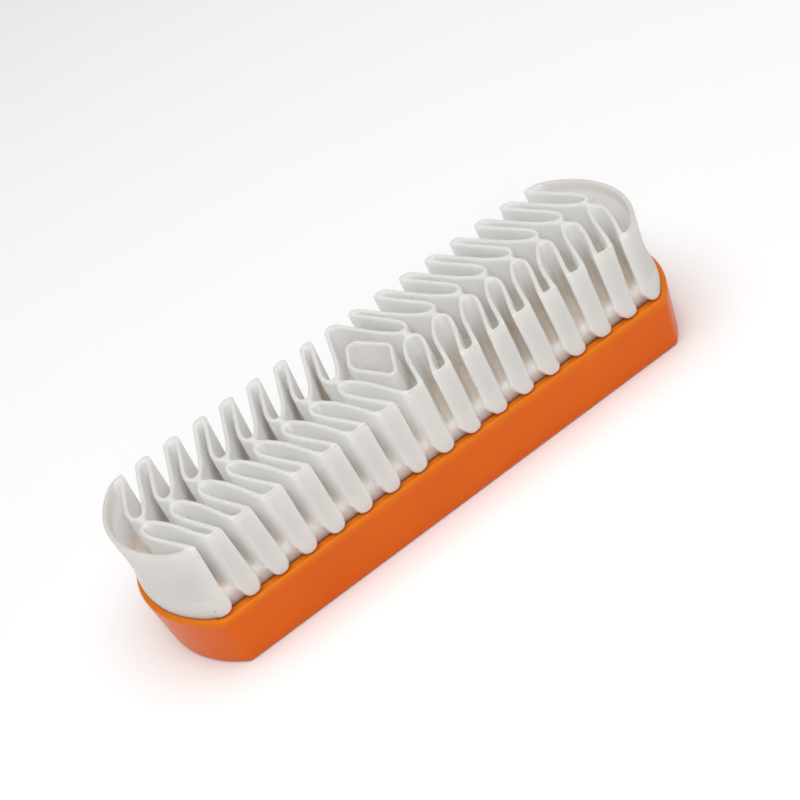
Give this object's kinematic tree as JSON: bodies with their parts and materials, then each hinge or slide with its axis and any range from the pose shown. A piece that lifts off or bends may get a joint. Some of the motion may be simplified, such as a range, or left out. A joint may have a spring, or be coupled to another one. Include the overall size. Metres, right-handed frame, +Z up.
{
  "type": "suede brush",
  "caption": "Suede and nubuck cleaning brush: a white crepe rubber block of thin zigzag fins set in a shallow orange plastic tray with rounded ends and a flat back.",
  "frame": {"origin": "centre of the flat back face of the tray, on the surface the brush rests on", "axes": "+X along the length of the brush, +Y across its width, +Z up out of the back face towards the tips of the rubber fins"},
  "size_m": [0.1402, 0.0446, 0.032],
  "materials": {
    "orange_plastic": "smooth moulded orange plastic with a soft sheen",
    "adhesive": "cured contact adhesive, amber and rubbery",
    "white_rubber": "matt off-white moulded crepe rubber with fine pores"
  },
  "bodies": {
    "root": {"handle": "orange_plastic", "adhesive_bed": "adhesive", "crepe_block": "white_rubber"}
  },
  "joints": []
}
